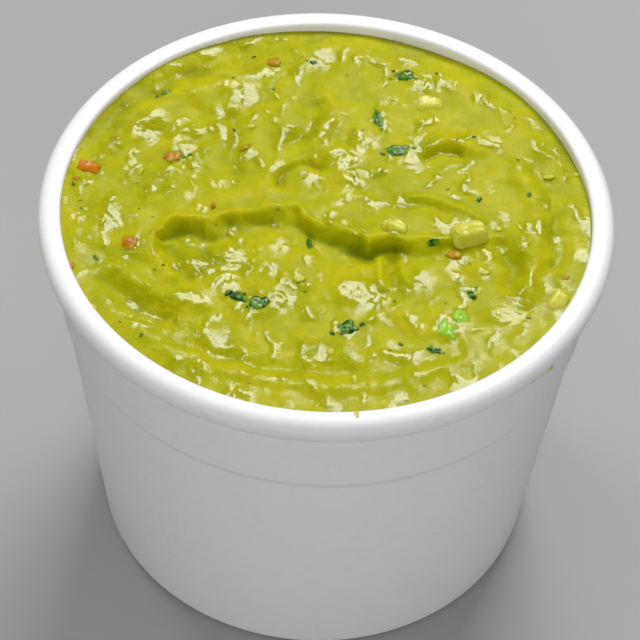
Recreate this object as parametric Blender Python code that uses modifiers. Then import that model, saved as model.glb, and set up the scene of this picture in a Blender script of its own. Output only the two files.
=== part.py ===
"""Guacamole in a white foam cup, served filled almost to the rim.

Metres, +Z up, front towards -Y. The origin is the middle of the foot ring, on the table.
The cup is one turned solid. The guacamole is one solid that fills it to an uneven top with a
spoon's scoop in it. Larger pieces of avocado and one of tomato sit in pockets in that top.
"""
import math

import bmesh
import bpy
import numpy as np
from mathutils import Euler, Vector

MM = 0.001

# Driving dimensions of the cup
RIM_RADIUS = 44.0 * MM
CUP_HEIGHT = 65.2 * MM
FOOT_RADIUS = 35.0 * MM
SHOULDER_RADIUS = 41.8 * MM  # outer wall just under the rim's bead
MOUTH_RADIUS = 40.5 * MM
WALL = 2.2 * MM
BEAD_HEIGHT = 5.4 * MM
BEAD_ROUND = 1.65 * MM
LIP_ROUND = 0.55 * MM  # inner corner of the rim
BAND_HEIGHT = 47.8 * MM  # where the stacking band on the outer wall ends
BAND_STEP = 0.22 * MM
FLOOR_TOP = 4.0 * MM
FOOT_WIDTH = 4.5 * MM
FOOT_RECESS = 1.6 * MM
FOOT_ROUND = 1.3 * MM
TURN_STEPS = 64

# Driving dimensions of the guacamole
GAP = 0.3 * MM  # kept between touching pieces
SURFACE_RINGS = 27
SCOOP_LENGTH = 27.0 * MM  # from the ridge to where the scoop runs out at the front
SCOOP_HALF_WIDTH = 25.5 * MM
SCOOP_MIDDLE = 0.5 * MM
SCOOP_DEPTH = 2.5 * MM
LIP_HEIGHT = 0.55 * MM

# Where the ridge behind the scoop runs: its depth in the cup at each place across it
RIDGE_ACROSS = np.array([-27.0, -24.0, -15.0, -5.0, -2.0, 6.0, 14.0, 21.0, 27.0]) * MM
RIDGE_BACK = np.array([-10.0, -6.8, -3.8, -1.2, -4.2, -6.6, -6.4, -5.6, -2.0]) * MM

# Level of the guacamole under the rim where it meets the wall, at each 45 degrees from +X
WALL_LEVEL = np.array([-1.2, -2.1, -1.9, -0.7, -0.7, -0.6, -0.5, -0.6]) * MM

# name, middle, size, turn in degrees, bevel share, material
CHUNKS = (
    ("avocado_chunk_1", (21.9, -4.6), (6.4, 4.0, 3.6), (12, -6, 14), 0.62, "avocado_flesh"),
    ("avocado_chunk_2", (10.4, -3.4), (4.8, 3.4, 3.0), (-8, 10, -18), 0.75, "avocado_flesh"),
    ("avocado_chunk_3", (34.0, -15.8), (3.2, 4.8, 3.2), (6, 14, 24), 0.72, "avocado_flesh"),
    ("avocado_chunk_4", (15.2, 24.0), (5.6, 4.2, 3.0), (10, 4, 10), 0.75, "avocado_flesh"),
    ("tomato_bit", (-35.6, 8.4), (4.4, 2.8, 2.2), (8, 12, -14), 0.7, "tomato_flesh"),
)
CHUNK_PROUD = {  # how far each one's middle lies under the surface around it
    "avocado_chunk_1": 1.35 * MM,
    "avocado_chunk_2": 0.9 * MM,
    "avocado_chunk_3": 0.9 * MM,
    "avocado_chunk_4": 1.2 * MM,
    "tomato_bit": 0.8 * MM,
}


def clear_scene():
    for obj in list(bpy.data.objects):
        bpy.data.objects.remove(obj, do_unlink=True)


def collection(name):
    made = bpy.data.collections.new(name)
    bpy.context.scene.collection.children.link(made)
    return made


def material(name, colour, roughness, metallic=0.0):
    made = bpy.data.materials.new(name)
    made.use_nodes = True
    shader = made.node_tree.nodes["Principled BSDF"]
    shader.inputs["Base Color"].default_value = (*colour, 1.0)
    shader.inputs["Roughness"].default_value = roughness
    shader.inputs["Metallic"].default_value = metallic
    return made


def smoothstep(low, high, value):
    t = np.clip((value - low) / (high - low), 0.0, 1.0)
    return t * t * (3.0 - 2.0 * t)


def arc(centre_r, centre_z, radius_r, radius_z, start, end, steps):
    """Points of an elliptic arc in the section, from one angle to another in degrees."""
    angles = np.radians(np.linspace(start, end, steps + 1))
    return [(centre_r + radius_r * math.cos(a), centre_z + radius_z * math.sin(a)) for a in angles]


def outer_radius(z):
    """Outer wall of the cup at a height, without the stacking band and the bead."""
    top = CUP_HEIGHT - BEAD_HEIGHT
    return FOOT_RADIUS + (SHOULDER_RADIUS - FOOT_RADIUS) * z / top


def inner_radius(z):
    """Inner wall of the cup at a height: it flares a little to meet the mouth."""
    flare_from = CUP_HEIGHT - BEAD_HEIGHT
    wall = outer_radius(min(z, flare_from)) - WALL
    share = smoothstep(flare_from, CUP_HEIGHT - BEAD_ROUND, z)
    return wall + (MOUTH_RADIUS - wall) * float(share)


def cup_section():
    """The cup's section, from the middle of its floor over the rim to the middle of its foot."""
    floor_round = 3.0 * MM
    floor_edge = inner_radius(FLOOR_TOP + floor_round)
    points = [(0.0, FLOOR_TOP)]
    points += arc(floor_edge - floor_round, FLOOR_TOP + floor_round, floor_round, floor_round, -90, 0, 4)
    flare = CUP_HEIGHT - BEAD_HEIGHT
    points += [(inner_radius(z), z) for z in (flare, flare + 1.3 * MM, flare + 2.6 * MM)]
    points += arc(MOUTH_RADIUS + LIP_ROUND, CUP_HEIGHT - LIP_ROUND, LIP_ROUND, LIP_ROUND, 180, 90, 4)
    points += arc(RIM_RADIUS - BEAD_ROUND, CUP_HEIGHT - BEAD_ROUND, BEAD_ROUND, BEAD_ROUND, 90, 0, 5)
    points += [(RIM_RADIUS - 0.15 * MM, CUP_HEIGHT - 3.0 * MM)]
    points += [(RIM_RADIUS - 1.1 * MM, CUP_HEIGHT - 4.3 * MM)]
    points += [(SHOULDER_RADIUS + BAND_STEP, flare)]
    points += [(outer_radius(BAND_HEIGHT) + BAND_STEP, BAND_HEIGHT + 0.3 * MM)]
    points += [(outer_radius(BAND_HEIGHT - 0.3 * MM), BAND_HEIGHT - 0.3 * MM)]
    foot_in = FOOT_RADIUS - FOOT_ROUND
    points += [(outer_radius(z), z) for z in (28.0 * MM, 10.0 * MM)]
    points += arc(foot_in + 0.05 * MM, FOOT_ROUND, FOOT_ROUND, FOOT_ROUND, 0, -90, 4)
    points += [(FOOT_RADIUS - FOOT_WIDTH, 0.0), (FOOT_RADIUS - FOOT_WIDTH - 1.2 * MM, FOOT_RECESS)]
    points += [(0.0, FOOT_RECESS)]
    return points


def turned(name, section, parent_collection, skin):
    """A solid turned about Z from a section that starts and ends on the axis."""
    mesh = bpy.data.meshes.new(name)
    edges = [(i, i + 1) for i in range(len(section) - 1)]
    mesh.from_pydata([(r, 0.0, z) for r, z in section], edges, [])
    obj = bpy.data.objects.new(name, mesh)
    parent_collection.objects.link(obj)
    screw = obj.modifiers.new("turn", "SCREW")
    screw.steps = TURN_STEPS
    screw.render_steps = TURN_STEPS
    screw.use_merge_vertices = True
    screw.merge_threshold = 0.00001
    screw.use_smooth_shade = True
    mesh.materials.append(skin)
    return obj


def as_mesh(obj):
    """The object again as a plain mesh, with its modifiers applied."""
    bpy.context.view_layer.update()
    graph = bpy.context.evaluated_depsgraph_get()
    mesh = bpy.data.meshes.new_from_object(obj.evaluated_get(graph))
    mesh.name = obj.name
    obj.modifiers.clear()
    obj.data = mesh
    return obj


def wall_level(x, y):
    """Level at the wall in the direction of a point, read smoothly round the cup."""
    turn = np.degrees(np.arctan2(y, x)) % 360.0
    step = 360.0 / len(WALL_LEVEL)
    first = np.floor(turn / step).astype(int) % len(WALL_LEVEL)
    share = smoothstep(0.0, 1.0, (turn % step) / step)
    return WALL_LEVEL[first] * (1 - share) + WALL_LEVEL[(first + 1) % len(WALL_LEVEL)] * share


def surface_height(x, y):
    """Height of the guacamole's top at a place in the cup."""
    out = np.hypot(x, y) / MOUTH_RADIUS
    level = -1.1 * MM * (1 - out**2) + wall_level(x, y) * out**2
    ridge = np.interp(x, RIDGE_ACROSS, RIDGE_BACK)
    ahead = ridge - y
    across = np.abs(x - SCOOP_MIDDLE) / SCOOP_HALF_WIDTH
    run = SCOOP_LENGTH * np.sqrt(np.clip(1 - across**2, 0.02, 1))
    along = np.clip(ahead / run, 0, 1)
    inside = 1 - smoothstep(0.82, 1.04, across)
    deeper = 1 + 0.25 * np.exp(-(((x - 6.0 * MM) / (8.0 * MM)) ** 2))
    scoop = SCOOP_DEPTH * deeper * inside * smoothstep(-0.2 * MM, 2.6 * MM, ahead) * (1 - along) ** 1.3
    lip = LIP_HEIGHT * inside * np.exp(-(((ahead + 1.0 * MM) / (1.6 * MM)) ** 2))
    swirl = np.sin((np.hypot(x - 4 * MM, y + 8 * MM) / MM) * 0.62 + 0.9 * np.arctan2(y + 8 * MM, x - 4 * MM))
    swirl_area = smoothstep(0.45, 0.7, out) * (1 - smoothstep(0.93, 1.0, out))
    lumps = np.sin(x / MM * 0.71 + 1.3) * np.sin(y / MM * 0.83 + 0.4) + 0.6 * np.sin((x - y) / MM * 0.47)
    fine = 0.16 * MM * swirl * swirl_area + 0.14 * MM * lumps * (1 - smoothstep(0.9, 1.0, out))
    return CUP_HEIGHT + level - scoop + lip + fine


def guacamole(parent_collection, skin):
    """The guacamole: a turned filling whose flat top is then raised and sunk to its relief."""
    edge = inner_radius(CUP_HEIGHT - BEAD_ROUND) - GAP
    bottom = FLOOR_TOP + GAP
    flat = CUP_HEIGHT - 1.0 * MM
    rings = np.linspace(0.0, edge, SURFACE_RINGS + 1)
    section = [(float(r), flat) for r in rings]
    flare = CUP_HEIGHT - BEAD_HEIGHT
    section += [(inner_radius(flare) - GAP, flare - 0.2 * MM)]
    floor_round = 3.0 * MM
    floor_edge = inner_radius(FLOOR_TOP + floor_round) - GAP
    section += arc(floor_edge - floor_round, bottom + floor_round, floor_round, floor_round, 0, -90, 3)
    section += [(0.0, bottom)]
    obj = as_mesh(turned("guacamole", section, parent_collection, skin))
    for vertex in obj.data.vertices:
        if abs(vertex.co.z - flat) < 0.01 * MM:
            vertex.co.z = float(surface_height(vertex.co.x, vertex.co.y))
    return obj


def rounded_block(name, size, share, parent_collection, skin):
    """A block with well rounded edges, narrower at its top, as soft diced pieces are."""
    mesh = bpy.data.meshes.new(name)
    block = bmesh.new()
    bmesh.ops.create_cube(block, size=1.0)
    for vertex in block.verts:
        narrow = 0.84 if vertex.co.z > 0 else 1.0
        wide = Vector((size[0] * narrow, size[1] * narrow, size[2]))
        vertex.co = vertex.co * wide
    bmesh.ops.bevel(
        block,
        geom=block.verts[:] + block.edges[:],
        offset=min(size) * 0.5 * share,
        segments=3,
        profile=0.5,
        affect="EDGES",
    )
    block.to_mesh(mesh)
    block.free()
    mesh.materials.append(skin)
    obj = bpy.data.objects.new(name, mesh)
    parent_collection.objects.link(obj)
    return obj


def place(obj, middle, turn):
    x, y = (value * MM for value in middle)
    obj.location = (x, y, float(surface_height(x, y)) - CHUNK_PROUD[obj.name.removesuffix("_pocket")])
    obj.rotation_euler = Euler([math.radians(angle) for angle in turn])
    return obj


def chunk_and_pocket(spec, filling, parts, cutters, skins):
    """One chunk in its pocket, which is the same block a gap larger all round."""
    name, middle, size, turn, share, skin = spec
    sides = [side * MM for side in size]
    place(rounded_block(name, sides, share, parts, skins[skin]), middle, turn)
    wider = [side + 2 * GAP for side in sides]
    pocket = place(rounded_block(name + "_pocket", wider, share, cutters, skins[skin]), middle, turn)
    pocket.hide_render = True
    pocket.display_type = "WIRE"
    cut = filling.modifiers.new("pocket_" + name, "BOOLEAN")
    cut.operation = "DIFFERENCE"
    cut.solver = "EXACT"
    cut.object = pocket


def main():
    clear_scene()
    parts = collection("guacamole_cup")
    cutters = collection("cutters")
    skins = {
        "foam": material("white_foam", (0.86, 0.86, 0.85), 0.55),
        "guacamole": material("guacamole", (0.42, 0.44, 0.035), 0.3),
        "avocado_flesh": material("avocado_flesh", (0.6, 0.58, 0.12), 0.35),
        "tomato_flesh": material("tomato_flesh", (0.62, 0.16, 0.03), 0.3),
    }
    turned("cup", cup_section(), parts, skins["foam"])
    filling = guacamole(parts, skins["guacamole"])
    for spec in CHUNKS:
        chunk_and_pocket(spec, filling, parts, cutters, skins)


main()
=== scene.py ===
import math

import bmesh
import bpy
import numpy as np
from mathutils import Matrix, Vector


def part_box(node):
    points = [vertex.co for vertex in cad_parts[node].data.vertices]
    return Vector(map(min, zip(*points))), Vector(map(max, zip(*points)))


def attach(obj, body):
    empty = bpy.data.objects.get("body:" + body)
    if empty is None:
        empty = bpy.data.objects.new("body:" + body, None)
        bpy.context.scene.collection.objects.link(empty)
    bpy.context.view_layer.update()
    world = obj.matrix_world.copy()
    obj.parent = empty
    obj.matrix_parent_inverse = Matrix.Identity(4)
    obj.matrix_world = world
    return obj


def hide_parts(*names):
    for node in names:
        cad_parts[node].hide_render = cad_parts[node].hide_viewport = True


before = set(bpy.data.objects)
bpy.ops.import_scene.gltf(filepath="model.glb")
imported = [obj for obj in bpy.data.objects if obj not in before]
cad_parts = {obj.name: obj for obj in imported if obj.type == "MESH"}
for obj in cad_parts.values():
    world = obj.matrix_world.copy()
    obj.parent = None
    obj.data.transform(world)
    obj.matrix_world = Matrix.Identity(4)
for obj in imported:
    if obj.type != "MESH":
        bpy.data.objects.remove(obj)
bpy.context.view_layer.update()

mm = 0.001
scene = bpy.context.scene

cupLow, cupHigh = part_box("cup")
rimTop = cupHigh[2] / mm  # height of the rim in mm
rimOut = cupHigh[0] / mm  # outermost radius of the rim in mm


class Value:
    # a number socket that can be used in plain maths

    def __init__(self, tree, socket):
        self.tree = tree
        self.socket = socket

    def calc(self, operation, *others, flip=False):
        node = self.tree.nodes.new("ShaderNodeMath")
        node.operation = operation
        inputs = [self, *others]
        if flip:
            inputs.reverse()
        for place, item in enumerate(inputs):
            if isinstance(item, Value):
                self.tree.links.new(item.socket, node.inputs[place])
            else:
                node.inputs[place].default_value = item
        return Value(self.tree, node.outputs[0])

    def __add__(self, other):
        return self.calc("ADD", other)

    def __sub__(self, other):
        return self.calc("SUBTRACT", other)

    def __mul__(self, other):
        return self.calc("MULTIPLY", other)

    def __truediv__(self, other):
        return self.calc("DIVIDE", other)

    def __pow__(self, other):
        return self.calc("POWER", other)

    def __radd__(self, other):
        return self.calc("ADD", other, flip=True)

    def __rsub__(self, other):
        return self.calc("SUBTRACT", other, flip=True)

    def __rmul__(self, other):
        return self.calc("MULTIPLY", other, flip=True)

    def __rtruediv__(self, other):
        return self.calc("DIVIDE", other, flip=True)

    def least(self, other):
        return self.calc("MINIMUM", other)

    def most(self, other):
        return self.calc("MAXIMUM", other)


class Finish:
    # one material under construction, with a Principled shader at its end

    def __init__(self, name, **fixed):
        self.material = bpy.data.materials.new(name)
        self.material.use_nodes = True
        self.tree = self.material.node_tree
        self.shader = self.tree.nodes["Principled BSDF"]
        for label, value in fixed.items():
            self.shader.inputs[label.replace("_", " ")].default_value = value

    def node(self, kind, settings=None, stops=None, **sockets):
        made = self.tree.nodes.new("ShaderNode" + kind)
        for label, value in (settings or {}).items():
            setattr(made, label, value)
        if stops:
            ramp = made.color_ramp
            while len(ramp.elements) < len(stops):
                ramp.elements.new(0.5)
            for element, (place, colour) in zip(ramp.elements, stops):
                element.position = place
                element.color = (*colour, 1.0)
        for label, value in sockets.items():
            self.put(made, label.replace("_", " "), value)
        return made

    def put(self, made, label, value):
        live = [socket for socket in made.inputs if socket.name == label and socket.enabled]
        socket = live[0]
        if isinstance(value, Value):
            self.tree.links.new(value.socket, socket)
        elif isinstance(value, bpy.types.NodeSocket):
            self.tree.links.new(value, socket)
        else:
            socket.default_value = value

    def value(self, kind, output, settings=None, stops=None, **sockets):
        made = self.node(kind, settings, stops, **sockets)
        return Value(self.tree, made.outputs[output])

    def where(self):
        return self.node("TexCoord").outputs["Object"]

    def noise(self, scale, detail=3.0, rough=0.55, warp=0.0, at=None):
        place = self.where() if at is None else at
        return self.value("TexNoise", "Fac", Vector=place, Scale=scale, Detail=detail,
                          Roughness=rough, Distortion=warp)

    def cells(self, scale, feature="SMOOTH_F1", at=None, random=1.0):
        place = self.where() if at is None else at
        extra = {"Smoothness": 0.35} if feature == "SMOOTH_F1" else {}
        return self.value("TexVoronoi", "Distance", {"feature": feature}, Vector=place,
                          Scale=scale, Randomness=random, **extra)

    def ease(self, value, low, high, start=0.0, end=1.0):
        return self.value("MapRange", "Result", {"interpolation_type": "SMOOTHSTEP"}, Value=value,
                          From_Min=low, From_Max=high, To_Min=start, To_Max=end)

    def ramp(self, value, stops):
        return self.node("ValToRGB", stops=stops, Fac=value).outputs["Color"]

    def blend(self, share, first, second, way="MIX"):
        made = self.tree.nodes.new("ShaderNodeMix")
        made.data_type = "RGBA"
        made.blend_type = way
        for place, item in ((0, share), (6, first), (7, second)):
            if isinstance(item, Value):
                self.tree.links.new(item.socket, made.inputs[place])
            elif isinstance(item, bpy.types.NodeSocket):
                self.tree.links.new(item, made.inputs[place])
            elif place:
                made.inputs[place].default_value = (*item, 1.0)
            else:
                made.inputs[place].default_value = item
        return made.outputs[2]

    def attribute(self, name):
        return Value(self.tree, self.node("Attribute", {"attribute_name": name}).outputs["Fac"])

    def relief(self, height, depth, strength=1.0, under=None):
        made = self.node("Bump", Height=height, Distance=depth, Strength=strength)
        if under is not None:
            self.tree.links.new(under, made.inputs["Normal"])
        return made.outputs["Normal"]

    def finish(self, **links):
        for label, value in links.items():
            self.put(self.shader, label.replace("_", " "), value)
        return self.material


def ease(low, high, value):
    share = np.clip((value - low) / (high - low), 0.0, 1.0)
    return share * share * (3.0 - 2.0 * share)


def scramble(ix, iy, seed):
    mixed = (ix * 374761393 + iy * 668265263 + seed * 1274126177) & 0xFFFFFFFF
    mixed = ((mixed ^ (mixed >> 13)) * 1103515245) & 0xFFFFFFFF
    mixed = ((mixed ^ (mixed >> 16)) * 2246822519) & 0xFFFFFFFF
    return (mixed ^ (mixed >> 15)) / 4294967296.0


def swell(x, y, seed):
    # smooth noise from about -0.7 to 0.7, one swell per unit
    ix = np.floor(x).astype(np.int64)
    iy = np.floor(y).astype(np.int64)
    fx = x - ix
    fy = y - iy
    ux = fx * fx * fx * (fx * (fx * 6 - 15) + 10)
    uy = fy * fy * fy * (fy * (fy * 6 - 15) + 10)
    total = 0.0
    for dx, wx in ((0, 1 - ux), (1, ux)):
        for dy, wy in ((0, 1 - uy), (1, uy)):
            angle = scramble(ix + dx, iy + dy, seed) * 2 * math.pi
            total = total + wx * wy * (np.cos(angle) * (fx - dx) + np.sin(angle) * (fy - dy))
    return total


def swells(x, y, size, seed, layers=3, fall=0.5):
    total = 0.0
    share = 1.0
    for layer in range(layers):
        total = total + share * swell(x / size, y / size, seed + layer * 17)
        size = size * 0.53
        share *= fall
    return total


def grains(x, y, size, seed, spread=0.9):
    # round bumps, about one per size: 1 on each top, falling to 0 between them
    gx = x / size
    gy = y / size
    ix = np.floor(gx).astype(np.int64)
    iy = np.floor(gy).astype(np.int64)
    best = np.full(np.shape(x), 9.0)
    for dx in (-1, 0, 1):
        for dy in (-1, 0, 1):
            cx = ix + dx + 0.5 + spread * (scramble(ix + dx, iy + dy, seed) - 0.5)
            cy = iy + dy + 0.5 + spread * (scramble(ix + dx, iy + dy, seed + 7) - 0.5)
            wide = 0.75 + 0.6 * scramble(ix + dx, iy + dy, seed + 13)
            best = np.minimum(best, np.hypot(gx - cx, gy - cy) / wide)
    return np.clip(1 - best * best * 1.6, 0, 1)


cupSizes = {
    "mouth": 40.5,  # inner radius at the rim
    "wall": 2.2,
    "foot": 35.0,  # outer radius at the table
    "shoulder": 41.8,  # outer radius just under the bead
    "beadHeight": 5.4,
    "beadRound": 1.65,
    "lipRound": 0.55,  # inner corner of the rim
    "bandHeight": 47.8,  # lower edge of the stacking band
    "bandStep": 0.45,
    "floorTop": 4.0,
    "footWidth": 4.5,
    "footRecess": 1.6,
    "footRound": 1.3,
}


def outerWall(z):
    s = cupSizes
    return s["foot"] + (s["shoulder"] - s["foot"]) * z / (rimTop - s["beadHeight"])


def innerWall(z):
    s = cupSizes
    flare = rimTop - s["beadHeight"]
    wall = outerWall(min(z, flare)) - s["wall"]
    return wall + (s["mouth"] - wall) * float(ease(flare, rimTop - s["beadRound"], z))


def arc(r, z, wide, high, start, end, steps):
    angles = np.radians(np.linspace(start, end, steps + 1))
    return [(r + wide * math.cos(a), z + high * math.sin(a)) for a in angles]


def cupSection():
    s = cupSizes
    flare = rimTop - s["beadHeight"]
    corner = 3.0
    edge = innerWall(s["floorTop"] + corner)
    points = [(0.0, s["floorTop"]), (12.0, s["floorTop"]), (24.0, s["floorTop"])]
    points += arc(edge - corner, s["floorTop"] + corner, corner, corner, -90, 0, 6)
    points += [(innerWall(z), z) for z in np.linspace(12, flare, 10)]
    points += [(innerWall(z), z) for z in np.linspace(flare + 0.6, rimTop - s["lipRound"] - 0.2, 7)]
    lip = s["lipRound"]
    bead = s["beadRound"]
    points += arc(s["mouth"] + lip, rimTop - 0.12 - lip, lip, lip, 180, 98, 7)
    points += [(s["mouth"] + 1.1, rimTop - 0.045), (rimOut - bead - 0.25, rimTop)]
    points += arc(rimOut - bead, rimTop - bead, bead, bead, 90, 0, 14)
    under = [(rimOut - 0.08, rimTop - 2.4), (rimOut - 0.22, rimTop - 3.1), (rimOut - 0.5, rimTop - 3.7)]
    under += [(rimOut - 1.0, rimTop - 4.3), (rimOut - 1.5, rimTop - 4.8), (rimOut - 1.85, rimTop - 5.2)]
    points += under
    band = s["bandHeight"]
    heights = np.linspace(flare - 0.35, band - 1.2, 34)
    points += [(outerWall(z) + s["bandStep"] * float(ease(band - 0.8, band + 0.8, z)), z) for z in heights]
    points += [(outerWall(z), z) for z in np.linspace(band - 2.0, s["footRound"] + 1.0, 24)]
    footIn = s["foot"] - s["footRound"]
    points += arc(footIn + 0.12, s["footRound"], s["footRound"], s["footRound"], 0, -90, 8)
    ring = s["foot"] - s["footWidth"]
    points += [(ring + 0.5, 0.0), (ring, 0.12), (ring - 0.9, s["footRecess"] - 0.3)]
    points += [(ring - 1.5, s["footRecess"]), (15.0, s["footRecess"]), (0.0, s["footRecess"])]
    return points


def meshPiece(name, points, faces, material, smooth=True):
    mesh = bpy.data.meshes.new(name)
    mesh.from_pydata([tuple(p) for p in points], [], [tuple(int(i) for i in f) for f in faces])
    mesh.update()
    if smooth:
        mesh.polygons.foreach_set("use_smooth", [True] * len(mesh.polygons))
    mesh.materials.append(material)
    piece = bpy.data.objects.new(name, mesh)
    scene.collection.objects.link(piece)
    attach(piece, "root")
    return piece


def lathe(section, steps):
    # points and faces of a shape turned about Z, with both ends closed on the axis
    points = []
    rings = []
    for r, z in section:
        if r < 1e-6:
            rings.append([len(points)] * steps)
            points.append((0.0, 0.0, z * mm))
            continue
        rings.append(list(range(len(points), len(points) + steps)))
        for k in range(steps):
            turn = 2 * math.pi * k / steps
            points.append((r * mm * math.cos(turn), r * mm * math.sin(turn), z * mm))
    faces = []
    for low, high in zip(rings, rings[1:]):
        for k in range(steps):
            n = (k + 1) % steps
            corners = [low[k], low[n], high[n], high[k]]
            kept = [c for place, c in enumerate(corners) if c != corners[place - 1]]
            if len(kept) > 2:
                faces.append(kept)
    return points, faces


def foamFinish():
    look = Finish("whiteFoam", Roughness=0.5, IOR=1.46, Subsurface_Weight=0.12, Subsurface_Scale=0.002)
    look.shader.inputs["Subsurface Radius"].default_value = (1.0, 0.95, 0.85)
    beads = look.cells(520, "F1")
    edges = look.ease(beads, 0.25, 0.75)
    cloud = look.noise(60, 3)
    fine = look.noise(900, 2)
    tone = edges * 0.35 + cloud * 0.5 + fine * 0.15
    colour = look.ramp(tone, [(0.25, (0.83, 0.83, 0.838)), (0.55, (0.845, 0.845, 0.85)),
                              (0.8, (0.815, 0.815, 0.823))])
    rough = look.ease(cloud, 0.3, 0.7, 0.42, 0.56)
    height = (1 - edges) * 0.6 + fine * 0.4
    normal = look.relief(height, 0.00004, 0.22)
    return look.finish(Base_Color=colour, Roughness=rough, Normal=normal)


def foamCup():
    points, faces = lathe(cupSection(), 256)
    cup = meshPiece("foamCup", points, faces, foamFinish())
    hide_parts("cup")
    return cup


relief = {
    "level": -0.75,  # mm under the rim, away from the wall
    "lumpHeight": 0.42,
    "pulpHeight": 0.13,
    "grainHeight": 0.12,
    "moundHeight": 0.12,
    "leanRight": -0.10,  # slope of the open pulp across and from front to back
    "leanBack": 0.05,
    "scoopDepth": 2.5,
    "foldHeight": 1.0,
    "seed": 41,
}

# level of the guacamole at the wall, every 22.5 degrees from +X, in mm under the rim
edgeLevel = np.array([-1.3, -1.9, -1.5, -2.0, -1.7, -1.2, -0.8, -0.8, -0.6, -0.5, -0.6, -0.5, -0.4,
                      -0.45, -0.5, -0.8])

# crest of the ridge left by the spoon
crestX = np.array([-25.6, -23.5, -20.6, -15.3, -13.1, -9.8, -6.4, -4.4, -3.2, -1.5, 0.6, 3.7, 6.8, 11.3,
                   17.4, 22.0, 26.0])
crestY = np.array([-7.4, -4.8, -4.0, -3.4, -3.0, -1.3, -0.5, -0.7, -2.6, -4.1, -4.4, -5.6, -6.6, -6.2,
                   -6.1, -4.9, -1.8])

# places where coarse pulp lies open, wet and rough: x, y, radius in mm, how much
openPulp = [
    (-18, -12, 3.2, 1.0), (-33, -4, 2.2, 0.9), (15, 15, 2.6, 0.8), (-12, 30, 3.0, 0.8), (13, 11, 2.4, 0.7),
    (-29, 16, 3.2, 0.9), (-22, 11, 2.6, 0.8), (-15, -16, 2.8, 0.8), (2, 11, 2.6, 0.8), (-15, -28, 2.6, 0.7),
    (6, -17, 3.6, 0.9), (-14, -11, 2.4, 0.8), (4, 6, 2.0, 0.7), (-6, -19, 2.6, 0.7), (-14, 24, 2.6, 0.8),
    (14, 29, 2.2, 0.7), (12, 35, 2.4, 0.7), (-18, 28, 2.2, 0.7), (-2, 6, 1.6, 0.6), (-1, 18, 2.2, 0.7),
    (6, 15, 2.0, 0.6), (-7, -8, 2.0, 0.6), (-17, 3, 1.6, 0.6), (19, -23, 3.0, 0.7), (-26, -22, 2.4, 0.6),
    (-25, 6, 2.0, 0.6), (-16, 15, 2.2, 0.6), (28, -20, 2.6, 0.6), (15, -14, 2.2, 0.6), (-37, -4, 1.6, 0.5),
    (-18, -20, 2.0, 0.6), (32, -14, 2.2, 0.6), (-13, 11, 1.6, 0.5), (-29, -10, 2.2, 0.6), (-8, 8, 1.6, 0.5),
    (30, 12, 2.0, 0.5), (-8, -13, 1.8, 0.6), (-35, 10, 2.0, 0.5), (24, -12, 1.8, 0.5), (20, -9, 2.0, 0.5),
    (-2, 33, 2.6, 0.6), (4, -30, 2.6, 0.35), (-10, -33, 2.6, 0.35), (16, -30, 2.4, 0.35),
            (33, 22, 2.0, 0.4),
]
# smooth places, swept by the spoon: x, y, half sizes along x and y
sweptPlaces = [
    (-10.0, 1.6, 12.5, 2.6), (3.0, 25.5, 6.5, 4.0), (-23.5, 27.0, 6.0, 2.4), (21.0, 31.0, 4.0, 2.5),
    (2.5, -7.6, 5.0, 2.4), (28.0, 8.0, 5.0, 4.0), (-24.5, -12.0, 1.6, 4.6), (21.5, 21.5, 4.5, 2.5),
    (28.5, -10.5, 2.0, 4.5), (-34.0, -18.0, 4.0, 2.5),
]


def pulpAmount(x, y):
    # how coarse the paste lies open at each place, from 0 for smooth to 1
    seed = relief["seed"]
    wx = x + 1.5 * swells(x, y, 3.2, seed + 21, 2)
    wy = y + 1.5 * swells(x, y, 3.2, seed + 22, 2)
    amount = 0.55 * ease(0.0, 0.5, swells(wx * 1.2, wy * 0.85, 3.8, seed + 9, 2, 0.5))
    out = np.hypot(x, y) / cupSizes["mouth"]
    amount = np.maximum(amount, 0.18 * ease(0.7, 0.85, out) * (1 - ease(0.94, 1.0, out)) * ease(4, -12, y))
    for px, py, radius, strength in openPulp:
        amount = np.maximum(amount,
                            0.85 * strength
                            * np.exp(-(((wx - px) ** 2 + (wy - py) ** 2) / radius ** 2) ** 1.3))
    for px, py, wide, long in sweptPlaces:
        amount = amount * (1 - 0.9 * np.exp(-(((wx - px) / wide) ** 2 + ((wy - py) / long) ** 2) ** 1.5))
    return amount


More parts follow.
